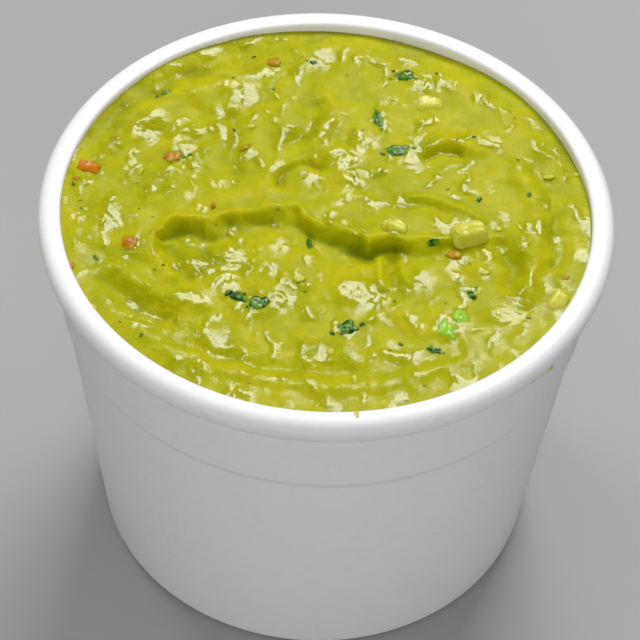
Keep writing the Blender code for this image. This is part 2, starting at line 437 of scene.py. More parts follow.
# soft folds: height in mm, half width in mm, and the places they pass through
folds = [
    (0.8, 1.6, [(-25.6, -7.0), (-25.6, -10.5), (-24.2, -13.7), (-21.6, -16.4)]),
    (-0.9, 1.3, [(-23.4, -8.0), (-23.0, -11.5), (-21.4, -14.2), (-19.0, -16.0)]),
    (0.7, 1.8, [(27.0, -2.0), (30.1, -6.3), (31.6, -9.8), (31.2, -13.5), (29.6, -16.8)]),
    (-0.9, 1.5, [(25.0, -4.2), (27.3, -7.0), (28.6, -10.0), (28.4, -13.0), (27.0, -16.0)]),
    (0.55, 0.7, [(8.9, -7.6), (8.5, -11.9), (9.4, -16.4)]),
    (0.45, 0.6, [(11.2, -7.3), (11.6, -11.8), (12.9, -15.8)]),
    (-0.6, 0.8, [(10.0, -7.6), (10.0, -11.8), (10.9, -15.6)]),
    (0.5, 0.9, [(11.1, 3.6), (15.7, 3.4), (20.6, 1.4), (24.5, -1.6)]),
    (-0.3, 1.0, [(10.6, 1.9), (15.6, 1.8), (20.0, 0.0)]),
    (-1.0, 1.6, [(-34.3, -14.8), (-29.3, -19.3), (-25.3, -22.4), (-20.0, -24.3)]),
    (0.6, 1.6, [(-32.6, -12.6), (-27.8, -16.8), (-22.6, -19.8), (-16.6, -21.8)]),
    (-1.0, 2.3, [(-37.6, 5.6), (-35.4, 15.0), (-31.8, 21.1), (-25.9, 26.9), (-16.7, 32.0), (-6, 35.5)]),
    (0.6, 1.9, [(-32.5, 7.0), (-30.6, 14.6), (-27.0, 19.4), (-20.6, 24.6), (-11.7, 28.9)]),
    (-0.6, 1.7, [(30.4, 14.6), (34.0, 6.6), (35.0, -0.6), (34.8, -8.0), (32.0, -16.0)]),
    (0.4, 1.6, [(27.6, 13.6), (31.2, 6.0), (32.4, -0.6), (32.8, -7.2)]),
    (0.45, 1.5, [(-30.4, -23.5), (-20.1, -31.0), (-8.3, -34.8), (3.3, -35.4), (14.8, -32.8),
                 (26.4, -25.6)]),
    (-0.35, 1.2, [(-22.0, -27.4), (-13.1, -31.2), (-3.3, -32.6), (7.3, -32.2)]),
    (-0.5, 0.9, [(-16.4, -5.8), (-17.4, -9.8), (-15.9, -13.0)]),
    (0.5, 1.3, [(-4.0, 12.0), (-1.0, 16.0), (0.0, 21.0), (-2.2, 27.0)]),
    (-0.5, 1.2, [(-7.0, 12.6), (-3.9, 16.8), (-2.9, 21.4), (-5.0, 26.6)]),
    (-0.6, 1.2, [(-13.6, 4.6), (-15.0, 10.0), (-14.4, 15.6), (-16.0, 21.0)]),
    (0.5, 1.2, [(14.6, 12.6), (17.5, 15.5), (21.4, 15.2), (24.0, 12.2)]),
    (-0.8, 0.9, [(14.0, 11.0), (17.6, 13.6), (21.6, 13.2)]),
    (-0.7, 0.9, [(-7.2, 3.2), (-6.6, 7.6), (-3.3, 9.4), (0.2, 8.2)]),
    (0.4, 1.5, [(-24.0, 2.0), (-27.6, -2.0), (-28.6, -8.0), (-27.6, -13.0)]),
]


def smoothPath(points, steps=14):
    # more points along a soft curve through the ones given
    p = np.array([points[0], *points, points[-1]], float)
    made = []
    for k in range(1, len(p) - 2):
        for t in np.linspace(0, 1, steps, endpoint=False):
            a, b, c, d = p[k - 1:k + 3]
            made.append(0.5 * (2 * b + (c - a) * t + (2 * a - 5 * b + 4 * c - d) * t ** 2
                               + (3 * b - a - 3 * c + d) * t ** 3))
    made.append(p[-1])
    return np.array(made)


def alongPath(x, y, path):
    # distance of each place from a path, and how far along it lies, from 0 to 1
    best = np.full(x.shape, 1e9)
    share = np.zeros(x.shape)
    for k in range(len(path) - 1):
        a = path[k]
        ab = path[k + 1] - a
        t = np.clip(((x - a[0]) * ab[0] + (y - a[1]) * ab[1]) / max(float(ab @ ab), 1e-9), 0, 1)
        gap = np.hypot(x - a[0] - t * ab[0], y - a[1] - t * ab[1])
        nearer = gap < best
        best = np.where(nearer, gap, best)
        share = np.where(nearer, (k + t) / (len(path) - 1), share)
    return best, share


def wallLevel(x, y):
    turn = np.degrees(np.arctan2(y, x)) % 360.0
    step = 360.0 / len(edgeLevel)
    first = np.floor(turn / step).astype(int) % len(edgeLevel)
    share = ease(0.0, 1.0, (turn % step) / step)
    return edgeLevel[first] * (1 - share) + edgeLevel[(first + 1) % len(edgeLevel)] * share


def surfaceHeight(x, y, fine=True):
    # height of the guacamole's top in mm at places given in mm
    s = relief
    seed = s["seed"]
    out = np.hypot(x, y) / cupSizes["mouth"]
    # everything is drawn on slightly wandering coordinates, so nothing runs too evenly
    wx = x + 0.9 * swells(x, y, 5.0, seed + 1, 2)
    wy = y + 0.9 * swells(x, y, 5.0, seed + 2, 2)
    near = ease(0.86, 1.0, out)
    height = s["level"] * (1 - near) + wallLevel(x, y) * near
    crest = np.interp(wx, crestX, crestY)
    ahead = crest - wy
    across = ease(-27.0, -23.0, wx) * (1 - ease(20.0, 26.5, wx))
    deep = 0.62 - 0.18 * ease(-20, -16, wx) + 0.4 * ease(-2, 2,
                                                         wx) * (1 - ease(10, 14, wx)) - 0.2 * ease(11,
                                                                                                   16, wx)
    deep = deep * (1 + 0.35 * swells(x, y, 4.0, seed + 15, 2))
    run = 10.5 + 2.0 * swells(x, y, 9.0, seed + 3, 1)
    ahead = ahead + 1.2 * swells(x, y, 4.2, seed + 14, 2, 0.4)
    steep = 1.35 - 0.35 * ease(-6, 0, wx) + 0.8 * swells(x, y, 5.0, seed + 4, 1)
    steep = np.maximum(steep, 0.6)
    fall = 1 - np.exp(-(np.maximum(ahead, 0) / steep) ** 1.5)
    rise = (1 - np.clip((ahead - 1.0) / run, 0, 1)) ** 1.5
    scoop = s["scoopDepth"] * deep * across * fall * rise
    height = height - scoop
    lip = 0.35 * np.exp(-((ahead + 0.7) / 0.8) ** 2)
    lip = lip + 0.45 * np.exp(-(np.minimum(ahead + 1.2, 0) / 5.5) ** 2) * (1 - fall)
    height = height + lip * across
    for high, wide, points in folds:
        gap, share = alongPath(wx, wy, smoothPath(points, 6))
        ends = ease(0.0, 0.18, share) * (1 - ease(0.82, 1.0, share))
        height = height + s["foldHeight"] * high * ends * np.exp(-(gap / wide) ** 2)
    calm = 1 - 0.8 * ease(0.93, 1.0, out)
    # broad soft lumps, then pulp that gathers in patches with smoother paste between
    lumps = swells(wx, wy, 5.2, seed + 5, 2, 0.5)
    height = height + s["lumpHeight"] * lumps * calm
    if not fine:
        return rimTop + height
    patch = pulpAmount(x, y)
    pulp = swells(wx * 1.15, wy * 0.85, 1.9, seed + 6, 3, 0.6)
    creased = 0.35 - np.abs(swells(wx, wy, 1.5, seed + 8, 2, 0.6)) * 1.6
    height = height + s["pulpHeight"] * (pulp * (0.35 + 0.9 * patch) + creased * 0.7 * patch) * calm
    height = height + s["moundHeight"] * patch * calm
    for px, py, radius, strength in openPulp:
        dx = x - px
        dy = y - py
        near = np.exp(-((dx ** 2 + dy ** 2) / (radius * 1.25) ** 2) ** 1.4)
        height = height + near * strength * (s["leanRight"] * dx + s["leanBack"] * dy) * calm
    round1 = grains(wx + 0.5 * pulp, wy * 0.8, 1.0, seed + 10)
    round2 = grains(wx * 0.85, wy + 0.4 * pulp, 0.66, seed + 11)
    height = height + s["grainHeight"] * (round1 * 0.9 + round2 * 0.6) * (0.10 + 0.95 * patch) * calm
    if fine == "parts":
        # The third value is painted shade for the colour: it is high on the ridge's face under the crest, in
        # low places between lumps and along the grooved folds, where shade falls.
        face = across * fall * (1 - ease(1.0, 3.0, ahead / steep))
        shadedDips = -0.5 * lumps * calm - 0.1
        for high, wide, points in folds:
            if high < 0:
                gap, share = alongPath(wx, wy, smoothPath(points, 6))
                shadedDips = shadedDips - 0.45 * high * np.exp(-(gap / wide) ** 2) * np.sin(math.pi * share)
        paintedShade = np.clip(1.1 * face * deep + np.clip(shadedDips, 0, 0.6), 0, 1)
        return rimTop + height, patch, paintedShade
    return rimTop + height


def discGrid(cells):
    # an even grid on the unit disc, made by pressing a square one into it
    line = np.linspace(-1, 1, cells + 1)
    a, b = np.meshgrid(line, line)
    bigger = np.abs(a) >= np.abs(b)
    safeA = np.where(np.abs(a) < 1e-12, 1e-12, a)
    safeB = np.where(np.abs(b) < 1e-12, 1e-12, b)
    turn = np.where(bigger, math.pi / 4 * b / safeA, math.pi / 2 - math.pi / 4 * a / safeB)
    radius = np.where(bigger, a, b)
    return radius * np.cos(turn), radius * np.sin(turn)


def pulpFinish(name):
    look = Finish(name, IOR=1.4, Specular_IOR_Level=0.12, Coat_Roughness=0.13, Coat_IOR=1.46,
                  Subsurface_Weight=0.75, Subsurface_Scale=0.0022)
    look.shader.inputs["Subsurface Radius"].default_value = (1.0, 0.8, 0.12)
    openness = look.attribute("pulp")
    paintedShade = look.attribute("paintedShade")
    broad = look.noise(150, 4, 0.6, 0.4)
    small = look.noise(620, 3, 0.6)
    tiny = look.noise(2100, 2)
    tone = broad * 0.6 + small * 0.28 + tiny * 0.12
    paste = look.ramp(tone, [(0.30, (0.355, 0.37, 0.001)), (0.44, (0.40, 0.405, 0.001)),
                             (0.56, (0.47, 0.45, 0.002)), (0.72, (0.56, 0.50, 0.010))])
    # Painted shade: the paste is blended towards dark green where the shade attribute is high (ridge face, low
    # lumps, grooves), with broad random noise mixed into the blend.
    colour = look.blend(look.ease(paintedShade + (broad - 0.5) * 0.5, 0.0, 0.9, 0.0, 0.85), paste,
                        (0.12, 0.18, 0.001))
    rough = look.ease(openness + small * 0.25, 0.1, 0.6, 0.42, 0.25)
    grain = look.cells(1750, "F1")
    speck = look.noise(4300, 3, 0.65)
    wave = look.noise(2400, 3, 0.62, 0.7)
    height = (1 - grain) * 0.3 + speck * 0.5 + wave * 0.85
    height = height * (0.25 + 1.0 * openness)
    normal = look.relief(height, 0.0005, 0.9)
    coat = look.ease(openness + (small - 0.5) * 0.6, 0.02, 0.5, 0.04, 0.8)
    return look.finish(Base_Color=colour, Roughness=rough, Coat_Weight=coat, Normal=normal)


def guacamoleFill(material):
    cells = 300
    u, v = discGrid(cells)
    edge = 41.1
    x = u * edge
    y = v * edge
    z, patch, paintedShade = surfaceHeight(x.ravel(), y.ravel(), "parts")
    side = cells + 1
    points = [Vector((px * mm, py * mm, pz * mm)) for px, py, pz in zip(x.ravel(), y.ravel(), z)]
    faces = []
    for row in range(cells):
        for col in range(cells):
            a = row * side + col
            faces.append((a, a + 1, a + side + 1, a + side))
    # the skirt starts from every rim point, then thins out to every fourth on its way down
    ring = [col for col in range(side)] + [row * side + cells for row in range(1, side)]
    ring += [cells * side + col for col in range(cells - 1, -1, -1)] + [row * side
                                                                        for row in range(cells - 1, 0, -1)]
    last = ring
    levels = [(62.4, 41.0), (60.6, 40.3), (58.8, 39.9)]
    for height, radius in levels:
        made = []
        for index in ring:
            p = points[index]
            turn = math.atan2(p.y, p.x)
            made.append(len(points))
            points.append(Vector((radius * mm * math.cos(turn), radius * mm * math.sin(turn), height * mm)))
        for k in range(len(ring)):
            n = (k + 1) % len(ring)
            faces.append((last[k], made[k], made[n], last[n]))
        last = made
    coarse = last[::4]
    for k in range(len(coarse)):
        first = k * 4
        n = coarse[(k + 1) % len(coarse)]
        faces.append((last[first], last[first + 1], last[first + 2], last[first + 3], n))
    # the rest of the skirt and the bottom follow the cup's inside
    bottom = cupSizes["floorTop"] - 0.15
    lastCoarse = coarse
    lower = [(z, innerWall(z) + 0.15) for z in (45.0, 30.0, 15.0, 7.0)]
    lower += [(5.0, innerWall(7.0) - 0.75), (bottom, innerWall(7.0) - 2.9)]
    for height, radius in lower:
        made = []
        for index in coarse:
            p = points[index]
            turn = math.atan2(p.y, p.x)
            made.append(len(points))
            points.append(Vector((radius * mm * math.cos(turn), radius * mm * math.sin(turn), height * mm)))
        for k in range(len(coarse)):
            n = (k + 1) % len(coarse)
            faces.append((lastCoarse[k], made[k], made[n], lastCoarse[n]))
        lastCoarse = made
    middle = len(points)
    points.append(Vector((0, 0, bottom * mm)))
    for k in range(len(lastCoarse)):
        faces.append((lastCoarse[k], middle, lastCoarse[(k + 1) % len(lastCoarse)]))
    fill = meshPiece("guacamoleFill", points, faces, material)
    # the second attribute carries painted shade for the paste's colour
    for label, values in (("pulp", patch), ("paintedShade", paintedShade), ("top", np.ones(len(z)))):
        layer = fill.data.attributes.new(label, "FLOAT", "POINT")
        whole = np.zeros(len(fill.data.vertices), np.float32)
        whole[:len(values)] = values
        layer.data.foreach_set("value", whole)
    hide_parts("guacamole")
    return fill


print("relief ready")


def softBlock(name, spec, material, seed):
    # a diced, slightly crushed piece: a rounded block with cut faces and a worn skin
    block = bmesh.new()
    bmesh.ops.create_cube(block, size=2.0)
    bmesh.ops.subdivide_edges(block, edges=block.edges[:], cuts=11, use_grid_fill=True)
    cx, cy = spec["middle"]
    length, width, height = spec["size"]
    turn = math.radians(spec["turn"])
    tilt = Matrix.Rotation(turn, 3, "Z") @ Matrix.Rotation(math.radians(spec.get("lean", 0)), 3, "X")
    tilt = tilt @ Matrix.Rotation(math.radians(spec.get("roll", 0)), 3, "Y")
    top = float(surfaceHeight(np.array([cx]), np.array([cy]), fine=False)[0])
    power = spec.get("square", 5.0)
    for vertex in block.verts:
        p = np.array(vertex.co)
        size = (np.abs(p) ** power).sum() ** (1 / power)
        p = p / size
        narrow = 1.0 - 0.16 * (p[2] + 1) / 2
        q = Vector((p[0] * length / 2 * narrow, p[1] * width / 2 * narrow, p[2] * height / 2))
        wobble = swells(np.array([q.x * 1.3 + cx + q.z]), np.array([q.y * 1.3 + cy - q.z]), 1.6, seed, 3)[0]
        q = q * (1 + spec.get("rough", 0.10) * float(wobble))
        q = tilt @ q
        vertex.co = Vector((cx + q.x, cy + q.y, top + spec["lift"] - height / 2 + q.z)) * mm
    bmesh.ops.recalc_face_normals(block, faces=block.faces[:])
    mesh = bpy.data.meshes.new(name)
    block.to_mesh(mesh)
    block.free()
    mesh.polygons.foreach_set("use_smooth", [True] * len(mesh.polygons))
    mesh.materials.append(material)
    piece = bpy.data.objects.new(name, mesh)
    scene.collection.objects.link(piece)
    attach(piece, "root")
    return piece


def avocadoFinish():
    look = Finish("dicedAvocado", IOR=1.4, Specular_IOR_Level=0.25, Coat_Roughness=0.14,
                  Subsurface_Weight=0.25,
                  Subsurface_Scale=0.0016)
    look.shader.inputs["Subsurface Radius"].default_value = (1.0, 0.9, 0.3)
    tone = look.noise(260, 3) * 0.6 + look.noise(1400, 2) * 0.4
    colour = look.ramp(tone, [(0.32, (0.50, 0.49, 0.02)), (0.5, (0.60, 0.57, 0.06)),
                              (0.68, (0.68, 0.65, 0.15))])
    rough = look.ease(tone, 0.35, 0.65, 0.28, 0.42)
    height = look.noise(900, 3) * 0.6 + look.cells(1500, "F1") * 0.4
    return look.finish(Base_Color=colour, Roughness=rough, Coat_Weight=look.ease(tone, 0.4, 0.6, 0.2, 0.4),
                       Normal=look.relief(height, 0.00018, 0.5))


def tomatoFinish():
    look = Finish("tomatoFlesh", IOR=1.4, Specular_IOR_Level=0.25, Coat_Roughness=0.12,
                  Subsurface_Weight=0.2,
                  Subsurface_Scale=0.0012)
    look.shader.inputs["Subsurface Radius"].default_value = (1.0, 0.5, 0.1)
    tone = look.noise(420, 3) * 0.7 + look.noise(1800, 2) * 0.3
    colour = look.ramp(tone, [(0.3, (0.50, 0.26, 0.003)), (0.48, (0.60, 0.16, 0.004)),
                              (0.66, (0.46, 0.36, 0.004))])
    rough = look.ease(tone, 0.3, 0.7, 0.25, 0.4)
    return look.finish(Base_Color=colour, Roughness=rough, Coat_Weight=look.ease(tone, 0.4, 0.6, 0.3, 0.5),
                       Normal=look.relief(look.noise(1300, 3), 0.0002, 0.5))


avocadoPieces = {
    "avocado_chunk_1": {"middle": (21.7, -4.2), "size": (6.0, 4.2, 3.2), "turn": 14, "lean": -10,
                        "roll": -8,
                        "lift": 1.05, "square": 4.5, "rough": 0.14},
    "avocado_chunk_2": {"middle": (10.4, -3.6), "size": (4.4, 3.0, 3.0), "turn": -18, "lean": -6, "roll": 5,
                        "lift": 0.75, "square": 3.2, "rough": 0.2},
    "avocado_chunk_3": {"middle": (34.9, -16.4), "size": (3.2, 5.0, 3.2), "turn": -26, "lean": 6,
                        "roll": 14,
                        "lift": 0.8, "square": 3.2, "rough": 0.15},
    "avocado_chunk_4": {"middle": (15.2, 24.2), "size": (5.8, 4.0, 3.0), "turn": 10, "lean": 4, "roll": 2,
                        "lift": 0.45, "square": 3.0, "rough": 0.2},
}
tomatoPiece = {"middle": (-36.6, 6.2), "size": (4.8, 3.0, 2.2), "turn": -20, "lean": 6, "roll": 12,
               "lift": 0.6,
               "square": 2.6, "rough": 0.3}


def setPieces():
    flesh = avocadoFinish()
    for place, (node, spec) in enumerate(avocadoPieces.items()):
        piece = softBlock("diced" + node[-1], spec, flesh, 300 + place * 11)
        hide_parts(node)
    red = softBlock("tomatoPiece", tomatoPiece, tomatoFinish(), 377)
    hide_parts("tomato_bit")


herbs = {
    "thickness": 0.16,
    "leaves": [  # middle x, y, length, width, turn, lift above the paste, all in mm and degrees
        (11.4, 30.2, 4.0, 2.9, 20, 0.25), (7.3, 19.9, 2.2, 4.6, 18, 0.2), (10.4, 13.3, 5.2, 2.3, 12, 0.3),
        (-3.4, 32.3, 3.8, 1.7, -10, 0.1), (-26.3, 24.1, 1.9, 1.1, 20, 0.2), (23.2, 3.2, 1.0, 1.9, -10, 0.2),
        (-12.2, -19.0, 3.4, 1.9, -28, 0.25), (-9.2, -19.8, 4.0, 2.6, 14, 0.3),
               (3.8, -24.2, 3.9, 2.6, 20, 0.3),
        (16.7, -27.4, 2.7, 1.3, -24, 0.25), (22.2, -16.4, 1.5, 2.2, 24, 0.25),
               (31.2, 4.8, 1.9, 1.6, 0, 0.05),
        (-2.4, -6.6, 1.0, 2.6, 8, 0.3), (16.4, -6.4, 2.4, 1.1, 18, 0.3), (-34.3, -12.4, 1.2, 1.2, 30, 0.1),
        (-26.4, -27.8, 1.4, 0.8, 15, 0.15), (-37.5, -2.2, 1.3, 1.0, -30, 0.1),
               (-21.9, 10.2, 1.9, 1.0, 10, 0.15),
        (-24.0, -13.7, 0.7, 0.7, 0, 0.1), (-9.4, 25.5, 0.8, 1.3, 10, 0.15),
               (11.7, -26.7, 1.6, 0.9, 30, 0.05),
        (30.6, -20.1, 1.4, 0.9, -15, 0.05), (-13.9, -18.2, 1.6, 1.0, 40, 0.25),
               (-10.6, -21.0, 1.8, 0.9, -30, 0.2),
        (-7.4, -18.9, 1.3, 0.8, 25, 0.15), (5.9, -23.2, 1.4, 0.9, 40, 0.2),
               (1.8, -25.3, 1.2, 0.9, -20, 0.2),
        (12.9, 13.9, 1.7, 0.8, 30, 0.2), (8.2, 12.4, 1.4, 0.8, -20, 0.15),
               (12.9, 29.4, 1.3, 0.9, -35, 0.15),
        (9.6, 31.2, 1.2, 0.8, 10, 0.1), (8.2, 17.6, 1.0, 1.1, 30, 0.1), (-1.4, 31.8, 1.4, 0.9, 20, 0.05),
        (-5.2, 33.2, 1.2, 0.8, -20, 0.05), (18.2, -27.9, 1.0, 0.7, 10, 0.15),
               (-3.6, 6.0, 1.9, 0.6, 30, 0.1),
        (-27.7, 23.5, 0.8, 0.6, 0, 0.1), (22.9, -14.9, 0.8, 0.9, 0, 0.15), (-22.6, 9.6, 1.3, 0.9, 35, 0.2),
    ],
    "pale": [(18.6, -23.4, 3.4, 3.8, 10, 0.28), (20.6, -20.8, 3.2, 2.8, -20, 0.28)],
}


def leafMesh(rows, thick, seed, fade=1.0):
    # torn, crinkled leaf bits lying on the paste, each a thin closed blade
    points = []
    faces = []
    around = 22
    rings = 5
    for place, (cx, cy, length, width, turn, lift) in enumerate(rows):
        turn = math.radians(turn)
        c, s = math.cos(turn), math.sin(turn)
        grid = []
        for ring in range(rings + 1):
            share = ring / rings
            for k in range(around):
                a = 2 * math.pi * k / around
                lobe = swell(np.array([1.5 * math.cos(a) + place * 3.1]),
                             np.array([1.5 * math.sin(a) + 5]), seed)[0]
                jag = 1 + 0.55 * lobe + 0.06 * math.sin(a * 5 + place)
                grid.append((share * jag * length / 2 * math.cos(a),
                             share * jag * width / 2 * math.sin(a), share))
        lx = np.array([g[0] for g in grid])
        ly = np.array([g[1] for g in grid])
        share = np.array([g[2] for g in grid])
        x = cx + c * lx - s * ly
        y = cy + s * lx + c * ly
        crinkle = 0.35 * swells(lx + place * 9, ly, 1.3, seed + 3, 2) + 0.12 * (ly / width) ** 2 * 4
        z = surfaceHeight(x, y) * 0.5 + 0.5 * surfaceHeight(x, y,
                                                            fine=False) + lift + crinkle - 0.42 * share ** 3
        edge = np.clip(1 - share, 0, 1) ** 0.5
        first = len(points)
        for k in range(len(x)):
            points.append((x[k] * mm, y[k] * mm, z[k] * mm))
        for k in range(len(x)):
            points.append((x[k] * mm, y[k] * mm, (z[k] - 0.03 - thick * edge[k]) * mm))
        below = first + len(x)
        for ring in range(rings):
            for k in range(around):
                n = (k + 1) % around
                a = ring * around
                b = a + around
                faces.append((first + a + k, first + b + k, first + b + n, first + a + n))
                faces.append((below + a + n, below + b + n, below + b + k, below + a + k))
        last = rings * around
        for k in range(around):
            n = (k + 1) % around
            faces.append((first + last + k, below + last + k, below + last + n, first + last + n))
    return points, faces


def herbFinish(name, stops, coat=0.35):
    look = Finish(name, IOR=1.4, Specular_IOR_Level=0.25, Coat_Roughness=0.12, Subsurface_Weight=0.1,
                  Subsurface_Scale=0.0008)
    look.shader.inputs["Subsurface Radius"].default_value = (0.3, 1.0, 0.2)
    veins = look.cells(700, "DISTANCE_TO_EDGE")
    tone = look.noise(950, 3) * 0.75 + look.ease(veins, 0.0, 0.12) * 0.25
    colour = look.ramp(tone, stops)
    rough = look.ease(tone, 0.3, 0.8, 0.3, 0.45)
    height = look.noise(1100, 3) * 0.7 + veins * 0.4
    return look.finish(Base_Color=colour, Roughness=rough,
                       Coat_Weight=look.ease(tone, 0.4, 0.7, coat, coat * 0.6),
                       Normal=look.relief(height, 0.0003, 0.7))


def tidyNormals(piece):
    work = bmesh.new()
    work.from_mesh(piece.data)
    bmesh.ops.remove_doubles(work, verts=work.verts[:], dist=1e-7)
    bmesh.ops.dissolve_degenerate(work, edges=work.edges[:], dist=1e-8)
    bmesh.ops.recalc_face_normals(work, faces=work.faces[:])
    work.to_mesh(piece.data)
    work.free()
    piece.data.polygons.foreach_set("use_smooth", [True] * len(piece.data.polygons))
    return piece


def choppedHerbs():
    dark = herbFinish("freshHerb", [(0.36, (0.006, 0.04, 0.004)), (0.52, (0.018, 0.10, 0.008)),
                                    (0.66, (0.12, 0.27, 0.012))], 0.6)
    pale = herbFinish("softHerb", [(0.3, (0.20, 0.46, 0.008)), (0.5, (0.28, 0.56, 0.02)),
                                   (0.75, (0.42, 0.62, 0.05))], 0.6)
    points, faces = leafMesh(herbs["leaves"], herbs["thickness"], 501)
    tidyNormals(meshPiece("choppedHerbs", points, faces, dark))
    points, faces = leafMesh(herbs["pale"], herbs["thickness"], 533)
    tidyNormals(meshPiece("softLeaves", points, faces, pale))


redBits = {
    "thickness": 0.5,
    "bits": [
        (-24.3, 9.6, 3.2, 2.6, 20, 0.32), (-29.4, -9.2, 3.0, 2.8, -20, 0.26),
             (19.6, -7.9, 2.6, 2.0, -12, 0.45),
        (-9.6, 31.9, 2.8, 2.2, -35, 0.35), (-13.2, 12.3, 2.5, 1.2, 30, 0.3),
             (-17.3, -0.8, 0.9, 1.3, 10, 0.25),
        (-37.6, -14.6, 1.1, 1.9, 0, 0.25), (36.2, -11.6, 1.4, 1.4, 0, 0.25),
             (-38.6, 3.6, 1.2, 1.6, 0, 0.25),
    ],
    "onion": [(20.2, -9.2, 3.6, 2.2, -10, 0.12), (-4.0, 7.0, 3.4, 1.6, 24, 0.1),
              (18.2, 13.6, 4.2, 1.6, 8, 0.1)],
}


def bitFinish(name, stops, coat):
    look = Finish(name, IOR=1.4, Specular_IOR_Level=0.25, Coat_Roughness=0.12, Subsurface_Weight=0.3,
                  Subsurface_Scale=0.001)
    look.shader.inputs["Subsurface Radius"].default_value = (1.0, 0.6, 0.15)
    tone = look.noise(480, 3) * 0.75 + look.noise(1900, 2) * 0.25
    colour = look.ramp(tone, stops)
    return look.finish(Base_Color=colour, Roughness=look.ease(tone, 0.3, 0.7, 0.28, 0.4),
                       Coat_Weight=look.ease(tone, 0.4, 0.6, coat, coat * 0.5),
                       Normal=look.relief(look.noise(1300, 3), 0.0002, 0.6))


def smallBits():
    red = bitFinish("tomatoSkin", [(0.36, (0.40, 0.39, 0.002)), (0.46, (0.42, 0.29, 0.003)),
                                    (0.58, (0.44, 0.15, 0.004)), (0.75, (0.36, 0.22, 0.008))], 0.3)
    points, faces = leafMesh(redBits["bits"], redBits["thickness"], 611)
    tidyNormals(meshPiece("tomatoBits", points, faces, red))
    onion = bitFinish("softOnion",
                      [(0.34, (0.40, 0.41, 0.010)), (0.55, (0.42, 0.40, 0.05)),
                       (0.75, (0.50, 0.47, 0.10))], 0.8)
    points, faces = leafMesh(redBits["onion"], 0.4, 655)
    tidyNormals(meshPiece("onionBits", points, faces, onion))


def scatterTree(name):
    # lumps strewn over a surface: more where the chosen attribute is high
    tree = bpy.data.node_groups.new(name, "GeometryNodeTree")
    face = tree.interface
    face.new_socket("Surface", in_out="INPUT", socket_type="NodeSocketGeometry")
    for label, kind in (("Density", "Float"), ("Smallest", "Vector"), ("Largest", "Vector"),
                        ("Where", "String"),
                        ("Lean", "Float"), ("Seed", "Int"), ("Skin", "Material"), ("Sink", "Float")):
        face.new_socket(label, in_out="INPUT", socket_type="NodeSocket" + kind)
    face.new_socket("Geometry", in_out="OUTPUT", socket_type="NodeSocketGeometry")

    def add(kind, settings=None, values=None):
        made = tree.nodes.new(kind)
        for label, value in (settings or {}).items():
            setattr(made, label, value)
        for label, value in (values or {}).items():
            socket = [s for s in made.inputs if s.name == label and s.enabled][0]
            if isinstance(value, bpy.types.NodeSocket):
                tree.links.new(value, socket)
            else:
                socket.default_value = value
        return made

    given = add("NodeGroupInput").outputs
    where = add("GeometryNodeInputNamedAttribute", {"data_type": "FLOAT"}, {"Name": given["Where"]})
    density = add("ShaderNodeMath", {"operation": "MULTIPLY"})
    tree.links.new(where.outputs[0], density.inputs[0])
    tree.links.new(given["Density"], density.inputs[1])
    spots = add("GeometryNodeDistributePointsOnFaces", None,
                {"Mesh": given["Surface"], "Density": density.outputs[0], "Seed": given["Seed"]})
    lump = add("GeometryNodeMeshIcoSphere", None, {"Radius": 1.0, "Subdivisions": 2})
    knobs = add("ShaderNodeTexNoise", None, {"Scale": 1.4, "Detail": 1.0})
    push = add("ShaderNodeVectorMath", {"operation": "SUBTRACT"})
    tree.links.new(knobs.outputs["Color"], push.inputs[0])
    push.inputs[1].default_value = (0.5, 0.5, 0.5)
    shaped = add("GeometryNodeSetPosition", None,
                 {"Geometry": lump.outputs["Mesh"], "Offset": push.outputs[0]})
    scale = add("FunctionNodeRandomValue", {"data_type": "FLOAT_VECTOR"},
                {"Min": given["Smallest"], "Max": given["Largest"], "Seed": given["Seed"]})
    low = add("ShaderNodeCombineXYZ")
    high = add("ShaderNodeCombineXYZ", None, {"Z": 6.283})
    for axis in "XY":
        tree.links.new(given["Lean"], high.inputs[axis])
    turn = add("FunctionNodeRandomValue", {"data_type": "FLOAT_VECTOR"},
               {"Min": low.outputs[0], "Max": high.outputs[0], "Seed": given["Seed"]})
    drop = add("ShaderNodeCombineXYZ", None, {"Z": given["Sink"]})
    sunk = add("GeometryNodeSetPosition", None,
               {"Geometry": spots.outputs["Points"], "Offset": drop.outputs[0]})
    placed = add("GeometryNodeInstanceOnPoints", None,
                 {"Points": sunk.outputs[0], "Instance": shaped.outputs[0], "Scale": scale.outputs[0],
                  "Rotation": turn.outputs[0]})
    real = add("GeometryNodeRealizeInstances", None, {"Geometry": placed.outputs[0]})
    marked = add("GeometryNodeStoreNamedAttribute", {"data_type": "FLOAT", "domain": "POINT"},
                 {"Geometry": real.outputs[0], "Name": "pulp", "Value": 0.7})
    soft = add("GeometryNodeSetShadeSmooth", None, {"Geometry": marked.outputs[0]})
    skinned = add("GeometryNodeSetMaterial", None, {"Geometry": soft.outputs[0], "Material": given["Skin"]})
    end = add("NodeGroupOutput")
    tree.links.new(skinned.outputs[0], end.inputs[0])
    return tree


crumbs = {  # per square metre, and half sizes in metres
    "paleCrumbs": {"Density": 0.005e6, "Smallest": (0.0004, 0.0003, 0.0002),
                   "Largest": (0.0011, 0.0008, 0.0005),
                   "Where": "top", "Lean": 0.4, "Seed": 12, "Sink": -0.00012, "slot": "avocado_flesh"},
    "herbFlecks": {"Density": 0.007e6, "Smallest": (0.0001, 0.00008, 0.00005),
                   "Largest": (0.00046, 0.00026, 0.00012),
                   "Where": "top", "Lean": 0.5, "Seed": 21, "Sink": 0.0, "slot": "guacamole"},
}


